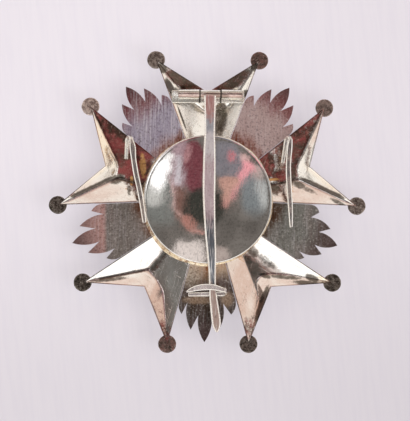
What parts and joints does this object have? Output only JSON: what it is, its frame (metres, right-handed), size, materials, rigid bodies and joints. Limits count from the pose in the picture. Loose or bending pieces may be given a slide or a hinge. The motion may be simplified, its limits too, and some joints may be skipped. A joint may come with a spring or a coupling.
{
  "type": "order insignia breast star",
  "caption": "Star-shaped insignia with forked hollow arms ending in balls, flat fans of leaf-shaped rays between them, a domed back disc, and a hinged pin with a catch and side hooks.",
  "frame": {"origin": "centre of the star, on the surface that it lies on with its front downwards", "axes": "+Z out of the back, +Y towards the pin's hinge, +X to the right seen from the back"},
  "size_m": [0.09, 0.0858, 0.0101],
  "materials": {
    "pressed_silver": "pressed silver, bright on the facets and tarnished brown in the folds",
    "polished_silver": "polished silver with fine scratches",
    "brushed_silver": "flat silver, brushed and toned grey to purple",
    "dark_silver": "tarnished silver",
    "fitting_silver": "worn silver of the pin, hinge and hooks"
  },
  "bodies": {
    "star": {"arm_1": "pressed_silver", "arm_2": "pressed_silver", "arm_3": "pressed_silver", "arm_4": "pressed_silver", "arm_5": "pressed_silver", "ray_fan_1": "brushed_silver", "ray_fan_2": "brushed_silver", "ray_fan_3": "brushed_silver", "ray_fan_4": "brushed_silver", "ray_fan_5": "brushed_silver", "collar": "dark_silver", "back_disc": "polished_silver", "front_medallion": "brushed_silver", "hinge_plate": "fitting_silver", "hinge_rod": "dark_silver", "catch_hook": "fitting_silver", "side_hook_left": "fitting_silver", "side_hook_right": "fitting_silver"},
    "pin": {"pin_knuckle": "fitting_silver", "pin_blade": "fitting_silver"}
  },
  "joints": [
    {"name": "pin_hinge", "type": "hinge", "parent": "star", "child": "pin", "pos_m": [0.0006, 0.0298, 0.00785], "axis": [-1, 0, 0], "range_deg": [0, 170], "deforming": ["pin_blade"]}
  ]
}
